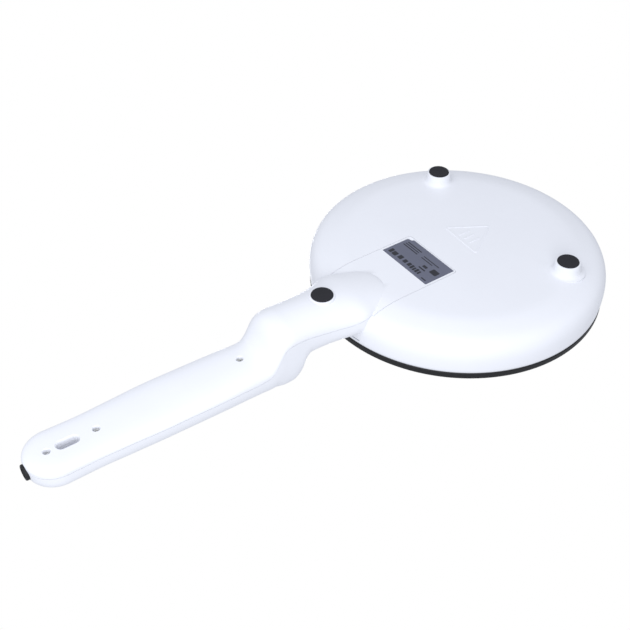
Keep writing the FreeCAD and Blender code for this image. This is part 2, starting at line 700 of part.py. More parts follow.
def wire(points):
    """An insulated lead: straight runs joined by tangent arcs along the given points."""
    spots = [at(*p) for p in points]
    edges = []
    start = spots[0]
    for before, corner, after in zip(spots, spots[1:], spots[2:]):
        back = before - corner
        ahead = after - corner
        turn = math.pi - back.getAngle(ahead)
        shorter = min(back.Length, ahead.Length)
        trim = 0.45 * shorter
        radius = trim / math.tan(turn / 2.0)
        back.normalize()
        ahead.normalize()
        first = corner + back * trim
        last = corner + ahead * trim
        inward = back + ahead
        inward.normalize()
        centre = corner + inward * (radius / math.cos(turn / 2.0))
        middle = centre - inward * radius
        edges.append(Part.makeLine(start, first))
        edges.append(Part.Arc(first, middle, last).toShape())
        start = last
    edges.append(Part.makeLine(start, spots[-1]))
    path = Part.Wire(edges)
    direction = spots[1] - spots[0]
    circle = Part.Wire([Part.makeCircle(WIRE_R, spots[0], direction)])
    return path.makePipeShell([circle], True, False)


LIVE_LEAD = ((229.8, 0.0, 34.0), (221.0, 0.5, 32.5), (213.0, -0.8, 28.8), (204.2, -0.6, 29.2))
SWITCHED_LEAD = (
    (187.7, -1.0, 29.5), (180.5, -6.5, 28.0), (168.0, -9.5, 26.5), (152.0, -9.5, 19.5),
    (132.0, -9.0, 13.5), (108.0, -9.0, 17.0), (80.0, -9.5, 19.0), (50.0, -9.5, 18.0),
    (24.0, -8.0, 16.5), (9.0, -1.0, 17.6),
)
NEUTRAL_LEAD = (
    (229.8, 6.5, 34.0), (215.0, 9.5, 31.0), (190.0, 10.0, 28.0), (168.0, 9.5, 26.5),
    (152.0, 9.5, 19.5), (132.0, 9.0, 13.5), (108.0, 9.0, 17.0), (82.0, 9.5, 19.5),
    (66.0, 11.0, 20.5),
)
EARTH_LEAD = (
    (229.8, -6.5, 34.0), (216.0, -9.5, 33.5), (192.0, -11.5, 30.0), (168.0, -12.8, 27.5),
    (150.0, -12.8, 20.0), (130.0, -12.6, 15.0), (106.0, -13.0, 18.5), (78.0, -14.0, 20.5),
    (50.0, -18.0, 20.0), (30.0, -22.0, 19.0),
)


def thermal_fuse():
    """Sleeved fuse in the neutral line, lying under the shield."""
    return Part.makeCylinder(2.4, 22.0, at(65.7, 11.0, 20.5), V(-1, 0.15, 0))


def earth_tag():
    """Ring tag and its stud, screwed up into the plate."""
    tag = block(19.0, 29.0, 2.5, 18.2, 19.0, -22.0)
    stud = cylinder(22.0, -22.0, 17.0, 41.0, 1.25)
    return tag.fuse(stud)


def thermostat_screw():
    return pan_screw(0, 0, 25.4, 12.0)


# ---- shared forms and the finished pieces ----
HANDLE = handle_form()
CAVITY = handle_cavity()
DISC = disc_form(0.0, RIM_Z)

PIECES = {
    "body_shell": body_shell,
    "lower_cover": lower_cover,
    "cooking_plate": cooking_plate,
    "plate_seal": plate_seal,
    "heating_element": heating_element,
    "element_pins": element_pins,
    "element_straps": element_straps,
    "heat_shield": heat_shield,
    "thermostat": thermostat,
    "thermostat_screw": thermostat_screw,
    "thermal_fuse": thermal_fuse,
    "earth_tag": earth_tag,
    "handle_screws": handle_screws,
    "neck_screw": lambda: pan_screw(NECK_FOOT_REACH, 0, 4.55, 11.0),
    "plate_screws": plate_screws,
    "foot_left": lambda: rubber_foot(*foot_places()[0]),
    "foot_right": lambda: rubber_foot(*foot_places()[1]),
    "foot_neck": lambda: rubber_foot(NECK_FOOT_REACH, 0),
    "rating_label": rating_label,
    "cord_gland": cord_gland,
    "cord_clamp": cord_clamp,
    "clamp_screws": clamp_screws,
    "switch_housing": switch_housing,
    "switch_rocker": switch_rocker,
    "switch_terminals": switch_terminals,
    "power_lamp_lens": lambda: lamp_lens(-1),
    "ready_lamp_lens": lambda: lamp_lens(1),
    "power_lamp": lambda: lamp_bulb(-1),
    "ready_lamp": lambda: lamp_bulb(1),
    "terminal_block": terminal_block,
    "live_lead": lambda: wire(LIVE_LEAD),
    "switched_lead": lambda: wire(SWITCHED_LEAD),
    "neutral_lead": lambda: wire(NEUTRAL_LEAD),
    "earth_lead": lambda: wire(EARTH_LEAD),
}

os.makedirs("parts", exist_ok=True)
for piece_name, make in PIECES.items():
    save(piece_name, make())
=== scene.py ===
# %% [markdown]
# # A hand-held crepe maker, seen from below
# The real appliance is a round white housing with a black cooking plate on top, and a long
# hollow handle of two mouldings that meet along a thin seam. The frame brings every part of
# it in at its true place, in metres, and this lesson builds the surfaces that show.

# %% Load the frame
import math
import bpy
from mathutils import Matrix, Vector


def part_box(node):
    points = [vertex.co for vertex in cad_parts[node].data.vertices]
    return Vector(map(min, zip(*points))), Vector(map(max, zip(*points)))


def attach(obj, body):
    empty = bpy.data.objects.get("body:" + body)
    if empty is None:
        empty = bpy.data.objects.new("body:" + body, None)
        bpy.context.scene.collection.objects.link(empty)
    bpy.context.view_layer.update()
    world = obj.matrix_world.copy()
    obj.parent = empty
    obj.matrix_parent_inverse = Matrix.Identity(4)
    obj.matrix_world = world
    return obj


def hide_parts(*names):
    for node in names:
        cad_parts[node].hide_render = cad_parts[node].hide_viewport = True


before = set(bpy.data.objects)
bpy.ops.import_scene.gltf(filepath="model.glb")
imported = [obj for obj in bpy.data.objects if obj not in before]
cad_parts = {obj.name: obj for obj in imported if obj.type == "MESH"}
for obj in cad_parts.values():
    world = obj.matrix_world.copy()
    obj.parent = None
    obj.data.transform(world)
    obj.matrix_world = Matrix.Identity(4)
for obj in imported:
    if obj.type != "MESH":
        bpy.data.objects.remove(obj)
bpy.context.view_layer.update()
MM = 0.001
MERGE_WITHIN = 0.002 * MM
plate_low, plate_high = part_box("cooking_plate")
AXIS_X = (plate_low.x + plate_high.x) / 2 / MM


# %% [markdown]
# ## Workshop helpers
# A turned piece is one closed outline spun round an axis, and a stacked piece is a row of
# outlines skinned into a tube. Both begin as a primitive whose points are moved into place,
# which is what a modeller does by hand with a circle or a grid. Booleans then cut and join.

# %% Selecting and finishing
def focus(obj):
    """Makes obj the only selected object and the active one."""
    bpy.ops.object.select_all(action="DESELECT")
    obj.select_set(True)
    bpy.context.view_layer.objects.active = obj


def start_from(obj, name):
    """Names a new object and its mesh alike."""
    obj.name = name
    obj.data.name = name
    return obj


def close_mesh(obj, fill=False):
    """Merges doubled points, drops stray edges, closes holes and turns every face outwards."""
    focus(obj)
    bpy.ops.object.mode_set(mode="EDIT")
    bpy.ops.mesh.select_all(action="SELECT")
    bpy.ops.mesh.remove_doubles(threshold=MERGE_WITHIN)
    bpy.ops.mesh.delete_loose(use_verts=True, use_edges=True, use_faces=False)
    if fill:
        bpy.ops.mesh.select_all(action="SELECT")
        bpy.ops.mesh.fill_holes(sides=0)
    bpy.ops.mesh.select_all(action="SELECT")
    bpy.ops.mesh.normals_make_consistent(inside=False)
    bpy.ops.object.mode_set(mode="OBJECT")
    return obj


def soften(obj, angle):
    """Smooth shading that stays crisp at edges sharper than the angle."""
    focus(obj)
    bpy.ops.object.shade_smooth_by_angle(angle=math.radians(angle))


# %% Turned and stacked solids
def turned(name, outline, at=(0.0, 0.0, 0.0), steps=64, along_x=False):
    """Spins a closed outline of (radius, height) corners round an upright or lengthways axis."""
    bpy.ops.object.select_all(action="DESELECT")
    bpy.ops.mesh.primitive_circle_add(vertices=len(outline), radius=MM)
    obj = start_from(bpy.context.active_object, name)
    for vertex, (radius, height) in zip(obj.data.vertices, outline):
        vertex.co = (radius * MM, 0.0, height * MM)
    bpy.ops.object.mode_set(mode="EDIT")
    bpy.ops.mesh.select_all(action="SELECT")
    bpy.ops.mesh.spin(steps=steps, angle=2 * math.pi, center=(0, 0, 0), axis=(0, 0, 1))
    bpy.ops.object.mode_set(mode="OBJECT")
    close_mesh(obj)
    if along_x:
        obj.data.transform(Matrix.Rotation(math.radians(90), 4, "Y"))
    obj.data.transform(Matrix.Translation(Vector(at) * MM))
    return obj


def stacked(name, outlines):
    """Skins outlines of equally many (x, y, z) points, in mm, and closes both ends."""
    rows, columns = len(outlines), len(outlines[0])
    bpy.ops.object.select_all(action="DESELECT")
    bpy.ops.mesh.primitive_grid_add(x_subdivisions=columns, y_subdivisions=rows - 1, size=1)
    obj = start_from(bpy.context.active_object, name)
    for vertex in obj.data.vertices:
        column = round((vertex.co.x + 0.5) * columns) % columns
        row = round((vertex.co.y + 0.5) * (rows - 1))
        vertex.co = Vector(outlines[row][column]) * MM
    return close_mesh(obj, fill=True)


def join(name, pieces):
    """Makes one object of several that don't touch."""
    focus(pieces[0])
    for piece in pieces[1:]:
        piece.select_set(True)
    if len(pieces) > 1:
        bpy.ops.object.join()
    return start_from(bpy.context.active_object, name)


def twin(obj, name):
    """A copy with its own mesh."""
    copy = obj.copy()
    copy.data = obj.data.copy()
    bpy.context.scene.collection.objects.link(copy)
    return start_from(copy, name)


def open_edges(obj):
    """How many edges don't have exactly two faces: none on a closed form."""
    uses = {}
    for face in obj.data.polygons:
        for key in face.edge_keys:
            uses[key] = uses.get(key, 0) + 1
    return sum(1 for n in uses.values() if n != 2)


def report(step, obj):
    """Prints a mesh's size, and whether it is closed."""
    print(step, obj.name, len(obj.data.polygons), "faces,", open_edges(obj), "open")


def combine(target, tool, operation):
    """Joins, cuts or crops target with tool and applies the result."""
    modifier = target.modifiers.new(operation.lower(), "BOOLEAN")
    modifier.operation = operation
    modifier.object = tool
    modifier.solver = "EXACT"
    focus(target)
    bpy.ops.object.modifier_apply(modifier=modifier.name)
    bpy.data.objects.remove(tool)
    report(operation.lower() + " ->", target)
    return target


# %% Smooth columns of a table
def smooth_rows(table):
    """Reads a table's columns at any first value, on a curve that never overshoots."""
    xs = [row[0] for row in table]

    def slopes(ys):
        steps = [(ys[i + 1] - ys[i]) / (xs[i + 1] - xs[i]) for i in range(len(xs) - 1)]
        inner = []
        for a, b in zip(steps, steps[1:]):
            inner.append(0.0 if a * b <= 0 else 2 * a * b / (a + b))
        return [steps[0]] + inner + [steps[-1]]

    columns = [[row[c] for row in table] for c in range(1, len(table[0]))]
    tangents = [slopes(ys) for ys in columns]

    def read(x):
        i = max(k for k in range(len(xs) - 1) if xs[k] <= x or k == 0)
        span = xs[i + 1] - xs[i]
        t = min(1.0, max(0.0, (x - xs[i]) / span))
        found = []
        for ys, ms in zip(columns, tangents):
            found.append(
                ys[i] * (1 + 2 * t) * (1 - t) ** 2
                + ms[i] * span * t * (1 - t) ** 2
                + ys[i + 1] * t * t * (3 - 2 * t)
                + ms[i + 1] * span * t * t * (t - 1)
            )
        return found

    return read


# %% [markdown]
# ## Camera and light
# The appliance is seen lying over on its plate and shows its underside, so the camera
# stands below the object here. One wide light beside the camera models the round wall, a
# weak one under the grip brightens it, a third behind and above serves the views from above,
# and an even white surround fills the rest.
# The floor faces up only: from below it isn't there.

# %% Camera
CAMERA_AT = Vector((294.25, -403.4, -415.2)) * MM
CAMERA_RIGHT = Vector((-0.81769, -0.57566, 0.0))
CAMERA_UP = Vector((-0.37830, 0.53735, -0.75376))
LENS_LENGTH = 58.26
camera_data = bpy.data.cameras.new("camera")
camera_data.lens = LENS_LENGTH
camera_data.sensor_width = 36.0
camera = bpy.data.objects.new("camera", camera_data)
bpy.context.scene.collection.objects.link(camera)
turn = Matrix((CAMERA_RIGHT, CAMERA_UP, CAMERA_RIGHT.cross(CAMERA_UP))).transposed()
camera.matrix_world = Matrix.Translation(CAMERA_AT) @ turn.to_4x4()
bpy.context.scene.camera = camera
print("camera", tuple(round(c, 3) for c in camera.location))


# %% Lights
LAMP_TINT = (0.95, 0.965, 1.0)
SURROUND_TINT = (0.90, 0.93, 1.0, 1.0)
SURROUND_STRENGTH = 0.72
WHITE = (1.0, 1.0, 1.0, 1.0)


def soft_light(name, place, target, size, power):
    """A round soft box, in metres and watts, aimed at the target."""
    data = bpy.data.lights.new(name, "AREA")
    data.shape = "DISK"
    data.size = size
    data.energy = power
    data.color = LAMP_TINT
    lamp = bpy.data.objects.new(name, data)
    bpy.context.scene.collection.objects.link(lamp)
    lamp.location = place
    aim = Vector(target) - Vector(place)
    lamp.rotation_euler = aim.to_track_quat("-Z", "Y").to_euler()


soft_light("key_below", (0.50, -0.75, -0.35), (0.0, 0.0, 0.02), 0.6, 4.2)
soft_light("fill_below", (0.30, -0.10, -0.55), (0.0, 0.0, 0.02), 0.5, 1.45)
soft_light("overhead", (-0.65, 0.95, 0.85), (-0.02, 0.0, 0.02), 0.7, 7.0)

world = bpy.data.worlds.new("surround")
bpy.context.scene.world = world
world.use_nodes = True
sky = world.node_tree
sky.nodes.clear()
sky_out = sky.nodes.new("ShaderNodeOutputWorld")
sky_mix = sky.nodes.new("ShaderNodeMixShader")
sky_path = sky.nodes.new("ShaderNodeLightPath")
sky_light = sky.nodes.new("ShaderNodeBackground")
sky_seen = sky.nodes.new("ShaderNodeBackground")
sky_light.inputs["Color"].default_value = SURROUND_TINT
sky_light.inputs["Strength"].default_value = SURROUND_STRENGTH
sky_seen.inputs["Color"].default_value = WHITE
sky_seen.inputs["Strength"].default_value = 1.0
sky.links.new(sky_path.outputs["Is Camera Ray"], sky_mix.inputs[0])
sky.links.new(sky_light.outputs[0], sky_mix.inputs[1])
sky.links.new(sky_seen.outputs[0], sky_mix.inputs[2])
sky.links.new(sky_mix.outputs[0], sky_out.inputs[0])
bpy.context.scene.view_settings.view_transform = "Standard"

# %% [markdown]
# ## Finishes
# Moulded plastic is never one flat colour: its tone drifts a little, its fine spark-eroded
# grain catches light, and its gloss varies where hands rub it. Every finish below starts from
# the same small recipe of two noises, one for tone and gloss and one for the grain's bump.

# %% A recipe for finishes
NOISE_MIDDLE = (0.3, 0.7)
GRAIN_DEPTH = 0.2 * MM


def finish_of(name, colour, drift, rough, rough_drift, grain, bump, metal=0.0, coat=0.0, patch=9.0,
              see_through=0.0, specular=0.5, stretch=(1.0, 1.0, 1.0)):
    """A finish whose tone, gloss and surface vary; grain and patch are in marks per metre."""
    material = bpy.data.materials.new(name)
    material.use_nodes = True
    tree = material.node_tree
    shader = tree.nodes["Principled BSDF"]
    shader.inputs["Metallic"].default_value = metal
    shader.inputs["Coat Weight"].default_value = coat
    shader.inputs["Coat Roughness"].default_value = 0.12
    shader.inputs["Transmission Weight"].default_value = see_through
    shader.inputs["Specular IOR Level"].default_value = specular
    place = tree.nodes.new("ShaderNodeTexCoord")
    scale = tree.nodes.new("ShaderNodeMapping")
    scale.inputs["Scale"].default_value = stretch
    tree.links.new(place.outputs["Object"], scale.inputs["Vector"])
    patches = tree.nodes.new("ShaderNodeTexNoise")
    patches.inputs["Scale"].default_value = patch
    patches.inputs["Detail"].default_value = 5.0
    patches.inputs["Roughness"].default_value = 0.6
    fine = tree.nodes.new("ShaderNodeTexNoise")
    fine.inputs["Scale"].default_value = grain
    fine.inputs["Detail"].default_value = 3.0
    fine.inputs["Roughness"].default_value = 0.65
    for noise in (patches, fine):
        tree.links.new(scale.outputs["Vector"], noise.inputs["Vector"])
    tones = tree.nodes.new("ShaderNodeValToRGB")
    tones.color_ramp.elements[0].position = NOISE_MIDDLE[0]
    tones.color_ramp.elements[1].position = NOISE_MIDDLE[1]
    darker = [c * (1.0 - drift) for c in colour]
    lighter = [min(1.0, c * (1.0 + drift)) for c in colour]
    tones.color_ramp.elements[0].color = (*darker, 1.0)
    tones.color_ramp.elements[1].color = (*lighter, 1.0)
    tree.links.new(patches.outputs["Fac"], tones.inputs["Fac"])
    tree.links.new(tones.outputs["Color"], shader.inputs["Base Color"])
    gloss = tree.nodes.new("ShaderNodeMapRange")
    gloss.inputs["From Min"].default_value = NOISE_MIDDLE[0]
    gloss.inputs["From Max"].default_value = NOISE_MIDDLE[1]
    gloss.inputs["To Min"].default_value = rough - rough_drift
    gloss.inputs["To Max"].default_value = rough + rough_drift
    tree.links.new(patches.outputs["Fac"], gloss.inputs["Value"])
    tree.links.new(gloss.outputs["Result"], shader.inputs["Roughness"])
    relief = tree.nodes.new("ShaderNodeBump")
    relief.inputs["Strength"].default_value = bump
    relief.inputs["Distance"].default_value = GRAIN_DEPTH
    tree.links.new(fine.outputs["Fac"], relief.inputs["Height"])
    tree.links.new(relief.outputs["Normal"], shader.inputs["Normal"])
    return material


# %% The finishes
# colour, its drift, roughness, its drift, grain, bump, and what else the finish needs
RECIPES = {
    "white_plastic": ((0.83, 0.84, 0.88), 0.012, 0.42, 0.05, 2600.0, 0.22, {"patch": 14.0}),
    "non_stick_coating": ((0.010, 0.010, 0.011), 0.30, 0.52, 0.06, 1700.0, 0.45,
                          {"patch": 420.0, "specular": 0.28}),
    "silicone": ((0.24, 0.24, 0.25), 0.10, 0.62, 0.05, 1500.0, 0.3, {}),
    "element_sheath": ((0.20, 0.19, 0.18), 0.25, 0.45, 0.10, 900.0, 0.3, {"metal": 1.0, "patch": 60.0}),
    "bright_steel": ((0.62, 0.62, 0.60), 0.08, 0.28, 0.08, 1400.0, 0.2, {"metal": 1.0, "patch": 160.0}),
    "shield_metal": ((0.68, 0.69, 0.70), 0.06, 0.36, 0.08, 700.0, 0.25,
                     {"metal": 1.0, "patch": 40.0, "stretch": (1.0, 9.0, 1.0)}),
    "thermostat_ceramic": ((0.78, 0.74, 0.66), 0.05, 0.55, 0.08, 1300.0, 0.35, {}),
    "fuse_sleeve": ((0.72, 0.70, 0.62), 0.08, 0.6, 0.06, 1900.0, 0.5, {}),
    "foot_rubber": ((0.014, 0.014, 0.018), 0.22, 0.60, 0.08, 1900.0, 0.5, {"patch": 90.0, "specular": 0.30}),
    "label_film": ((0.118, 0.126, 0.175), 0.07, 0.36, 0.05, 2400.0, 0.12,
                   {"patch": 60.0, "stretch": (1.0, 0.25, 1.0)}),
    "gland_rubber": ((0.012, 0.012, 0.013), 0.2, 0.55, 0.06, 1600.0, 0.45, {"patch": 90.0, "specular": 0.30}),
    "black_plastic": ((0.022, 0.022, 0.024), 0.18, 0.38, 0.06, 2200.0, 0.35, {"patch": 60.0}),
    "rocker_plastic": ((0.030, 0.030, 0.033), 0.16, 0.26, 0.05, 2400.0, 0.16, {"patch": 70.0}),
    "terminal_brass": ((0.75, 0.58, 0.28), 0.10, 0.3, 0.06, 900.0, 0.2, {"metal": 1.0}),
    "red_lens": ((0.62, 0.030, 0.022), 0.08, 0.14, 0.03, 900.0, 0.06, {"coat": 0.5, "patch": 120.0}),
    "green_lens": ((0.040, 0.42, 0.075), 0.08, 0.14, 0.03, 900.0, 0.06, {"coat": 0.5, "patch": 120.0}),
    "lamp_glass": ((0.86, 0.88, 0.88), 0.03, 0.08, 0.02, 300.0, 0.05, {"see_through": 0.8}),
    "terminal_plastic": ((0.78, 0.76, 0.70), 0.05, 0.45, 0.06, 1500.0, 0.3, {}),
    "brown_lead": ((0.17, 0.075, 0.035), 0.12, 0.42, 0.06, 1600.0, 0.25, {"patch": 80.0}),
    "blue_lead": ((0.030, 0.11, 0.42), 0.12, 0.42, 0.06, 1600.0, 0.25, {"patch": 80.0}),
    "green_lead": ((0.10, 0.36, 0.07), 0.12, 0.42, 0.06, 1600.0, 0.25, {"patch": 80.0}),
    "label_ink": ((0.010, 0.011, 0.018), 0.3, 0.4, 0.05, 2400.0, 0.1, {"patch": 300.0}),
}
finish = {name: finish_of(name, *recipe[:-1], **recipe[-1]) for name, recipe in RECIPES.items()}
print(len(finish), "finishes")


# %% Finishing a new piece
def finish_piece(piece, node, slot, body_name="appliance", angle=32.0, look=None):
    """Smooths a new piece, gives it its finish and hides the frame node it stands for."""
    soften(piece, angle)
    piece.data.materials.clear()
    piece.data.materials.append(finish[look or slot])
    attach(piece, body_name)
    if node:
        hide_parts(node)
    report("finished", piece)


# %% [markdown]
# ## What stays as the frame brought it
# The parts inside the housing have the right shape already: the heating ring, its straps, the
# leads, the terminal block. They keep their mesh and get a finish with some life in it.

# %% Give every frame node its finish
def middle_of(node):
    """Where a frame node stands, seen from above, in mm."""
    low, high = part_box(node)
    return ((low.x + high.x) / 2 / MM, (low.y + high.y) / 2 / MM, 0)


for node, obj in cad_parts.items():
    name = obj.data.materials[0].name.split(".")[0]
    obj.data.materials.clear()
    obj.data.materials.append(finish[name])
print(len(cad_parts), "nodes have their finish")


# %% [markdown]
# ## Outer forms of the two mouldings
# Both mouldings share one outside, so they are made as one hollow form first and parted along
# the seam later. The housing is a spun bowl with a soft edge round its flat underside. The
# handle is a row of rounded sections, narrow and deep at the neck, wide and shallow in the
# grip, with a thumb stop between them, and its end is the last half section turned round.

# %% The housing's outline
BOWL = (
    (0.0, 8.5), (24.0, 8.5), (48.0, 8.5), (66.0, 8.5), (74.0, 8.5), (76.5, 8.52), (78.5, 8.60), (80.5, 8.75),
    (82.5, 9.00), (85.0, 9.45), (88.0, 10.10), (90.5, 10.70), (92.5, 11.25), (94.3, 11.85), (96.0, 12.65),
    (97.5, 13.6), (98.8, 14.75), (99.9, 16.1), (100.8, 17.8), (101.6, 19.8), (102.15, 22.0), (102.42, 24.5),
    (102.48, 27.5), (102.35, 30.5), (102.15, 33.0), (101.95, 34.8), (101.6, 35.35), (101.0, 35.5),
)
WALL = 2.4
RIM_Z = 35.5
HOUSING_STEPS = 180
FLOOR_Z = BOWL[0][1]
housing = turned("housing", BOWL + ((0.0, RIM_Z),), (AXIS_X, 0, 0), HOUSING_STEPS)
HOLLOW = (
    (0.0, FLOOR_Z + WALL), (72.0, FLOOR_Z + WALL), (82.0, 11.4), (91.5, 13.7), (96.2, 17.0), (99.2, 22.5),
    (100.0, 28.0), (99.4, 33.0), (98.6, RIM_Z + 3.0), (0.0, RIM_Z + 3.0),
)
housing_hollow = turned("housing_hollow", HOLLOW, (AXIS_X, 0, 0), 96)
print("housing", len(housing.data.polygons), "faces")

# %% The handle's sections
# reach, half width, underside, seam, top, roundness below, roundness above
SECTIONS = (
    (68.4, 6.0, 9.4, 12.0, 30.0, 2, 3), (69.4, 10.5, 8.3, 12.0, 30.1, 2, 3),
    (71, 13.8, 7.5, 12.0, 30.4, 2, 3),
    (74, 16.2, 6.7, 12.0, 30.5, 2, 3), (79, 18.3, 5.6, 12.0, 30.6, 2, 3),
    (88, 21.5, 3.9, 12.2, 30.8, 2, 3), (98, 24.7, 2.4, 12.9, 31.0, 2, 3), (108, 22.2, 1.6, 15.2, 31.2, 2, 3),
    (118, 19.8, 1.3, 15.4, 31.6, 2, 3), (128, 18.6, 1.1, 14.6, 32.2, 2, 3),
    (134, 18.2, 1.1, 13.8, 33.2, 2, 3),
    (138, 18.1, 1.1, 13.3, 37.0, 2, 3.4), (142, 18.2, 1.2, 12.9, 46.0, 2, 4),
    (148, 18.5, 1.3, 12.6, 49.6, 2, 4.4), (154, 18.7, 2.4, 14.0, 49.8, 2, 4.2),
    (158, 18.9, 4.8, 18.6, 49.4, 2.1, 3.6), (161, 18.9, 9.3, 24.0, 48.8, 2.1, 3.2),
    (164, 18.9, 15.5, 28.6, 48.4, 2.2, 3), (168, 19.0, 20.6, 30.9, 48.1, 2.2, 2.8),
    (174, 19.3, 22.0, 31.2, 47.9, 2.3, 2.6), (184, 19.8, 22.4, 30.8, 47.5, 2.4, 2.5),
    (205, 20.4, 23.0, 30.0, 46.6, 2.4, 2.5), (235, 20.6, 23.6, 29.0, 45.6, 2.5, 2.5),
    (262, 19.4, 24.0, 29.0, 44.6, 2.8, 2.7), (284, 18.5, 24.3, 29.2, 43.2, 3.4, 3.0),
    (303.2, 18.6, 24.0, 29.3, 42.0, 4.0, 3.5),
)
TIP_REACH = 303.2
TIP_STEPS = 22
AROUND = 80
section_at = smooth_rows(SECTIONS)


def stations():
    """Where along the handle a section is cut: closest at its rounded start and the thumb stop."""
    found, reach = [], SECTIONS[0][0]
    while reach < TIP_REACH - 0.5:
        found.append(reach)
        if reach < 74.0:
            reach += 0.5
        elif 132.0 < reach < 172.0:
            reach += 1.0
        else:
            reach += 2.4
    return found + [TIP_REACH]


def section_points(reach, inset):
    """One section as (side, height) pairs, counted from the seam on the +y side."""
    half, under, seam, top, round_below, round_above = section_at(reach)
    points = []
    for k in range(AROUND):
        angle = 2 * math.pi * k / AROUND
        above = math.sin(angle) >= 0
        power = 2.0 / (round_above if above else round_below)
        reach_up = (top - inset - seam) if above else -(seam - under - inset)
        side = 0.0
        if k not in (AROUND // 4, 3 * AROUND // 4):
            side = math.copysign(abs(math.cos(angle)) ** power, math.cos(angle))
        points.append(((half - inset) * side, seam + reach_up * abs(math.sin(angle)) ** power))
    return points


def handle_form(name, inset):
    """The whole handle as one closed form, its skin moved inwards by inset."""
    outlines = []
    for reach in stations():
        x = AXIS_X + reach
        outlines.append([(x, y, z) for y, z in section_points(reach, inset)])
    tip = section_points(TIP_REACH, inset)
    for k in range(1, TIP_STEPS + 1):
        angle = math.pi / 2 * k / TIP_STEPS
        ring = []
        for y, z in tip:
            ring.append((AXIS_X + TIP_REACH + abs(y) * math.sin(angle), y * math.cos(angle), z))
        outlines.append(ring)
    return stacked(name, outlines)


handle = handle_form("handle", 0.0)
handle_hollow = handle_form("handle_hollow", WALL)
print("handle", len(handle.data.polygons), "faces,", len(stations()), "sections")

# %% [markdown]
# ## Feet, bosses, slot and holes
# Under the housing stand two short posts with a flared root, each with a ring round its rubber
# pad, and a third ring is sunk in the neck. Inside the handle, tubes carry the screws and line
# the hanging slot, so that no hole opens into the cavity. They are joined on before the cuts.

# %% Posts and tubes
FOOT_CIRCLE = 75.8
FOOT_PLACES = [(-FOOT_CIRCLE * 0.5, s * FOOT_CIRCLE * math.sqrt(0.75)) for s in (1, -1)]
NECK_FOOT = 115.0
SCREW_REACHES = (177.9, 276.3, 307.3)
SLOT_REACH = 294.2
POST = (
    (0.0, 0.8), (7.7, 0.8), (8.05, 0.88), (8.28, 1.08), (8.36, 1.35), (8.6, 4.0), (8.85, 5.9), (9.15, 6.9),
    (9.65, 7.65), (10.4, 8.2), (11.4, 8.48), (12.2, 8.62), (12.2, 10.0), (0.0, 10.0),
)
NECK_POST = (
    (0.0, 0.8), (7.7, 0.8), (8.05, 0.88), (8.28, 1.08), (8.36, 1.35), (8.4, 6.0), (0.0, 6.0),
)
posts = [turned(f"post_{i}", POST, (AXIS_X + r, y, 0), 72) for i, (r, y) in enumerate(FOOT_PLACES)]
posts.append(turned("post_neck", NECK_POST, (AXIS_X + NECK_FOOT, 0, 0), 72))


def stadium(reach, half_length, half_width, z, points=48):
    """A rounded slot's outline at one height."""
    straight = half_length - half_width
    outline = []
    for k in range(points):
        angle = 2 * math.pi * (k + 0.5) / points
        shift = math.copysign(straight, math.cos(angle))
        x = AXIS_X + reach + shift + half_width * math.cos(angle)
        outline.append((x, half_width * math.sin(angle), z))
    return outline


def under_and_top(reach):
    """The heights of the handle's underside and top, which run level round the tip."""
    section = section_at(min(reach, TIP_REACH))
    return section[1], section[3]


SKIN = 1.2
BOSS_R = 3.7
ribs = []
for reach in SCREW_REACHES:
    under, top = under_and_top(reach)
    boss = ((0.0, under + SKIN), (BOSS_R, under + SKIN), (BOSS_R, top - SKIN), (0.0, top - SKIN))
    ribs.append(turned("boss", boss, (AXIS_X + reach, 0, 0), 40))
slot_under, slot_top = under_and_top(SLOT_REACH)
sleeve = stacked("sleeve", [stadium(SLOT_REACH, 8.5, 4.7, z) for z in (slot_under + SKIN, slot_top - SKIN)])
print(len(posts), "posts,", len(ribs), "tubes; slot from z", round(slot_under, 1), "to", round(slot_top, 1))

# %% The cutting tools
cutters = []
POCKET_R, POCKET_DEPTH = 7.35, 2.9
POCKET = ((0.0, -2.0), (POCKET_R, -2.0), (POCKET_R, POCKET_DEPTH), (0.0, POCKET_DEPTH))
for reach, y in FOOT_PLACES + [(NECK_FOOT, 0.0)]:
    cutters.append(turned("pocket", POCKET, (AXIS_X + reach, y, 0), 72))
# radius, and depth from the handle's underside
SCREW_FLARE = (
    (0.0, -2.0), (4.0, -2.0), (2.75, -0.1), (2.42, 0.2), (2.2, 0.6), (2.1, 1.2), (2.1, 3.4), (0.0, 3.4),
)
for reach in SCREW_REACHES:
    flare = [(radius, under_and_top(reach)[0] + depth) for radius, depth in SCREW_FLARE]
    cutters.append(turned("screw_hole", flare, (AXIS_X + reach, 0, 0), 40))
# depth from the handle's skin, and how much the mouth widens the slot there
MOUTH = ((-4.0, 2.6), (-0.5, 1.2), (0.0, 0.8), (0.5, 0.42), (1.1, 0.15), (1.9, 0.0))
SLOT_LENGTH, SLOT_WIDTH = 13.6, 6.0
slot_stack = []
for side_z, outward, rims in ((slot_under, 1, MOUTH), (slot_top, -1, tuple(reversed(MOUTH)))):
    for depth, grow in rims:
        z = side_z + outward * depth
        slot_stack.append(stadium(SLOT_REACH, SLOT_LENGTH / 2 + grow, SLOT_WIDTH / 2 + grow, z))
slot_cut = stacked("slot_cut", slot_stack)
GLAND_Z = 32.3
# radius, and reach along the handle
GLAND_CUT = ((0.0, 309.0), (4.5, 309.0), (4.5, 320.35), (5.5, 320.35), (5.5, 330.0), (0.0, 330.0))
cutters.append(turned("gland_cut", GLAND_CUT, (AXIS_X, 0, GLAND_Z), 56, along_x=True))


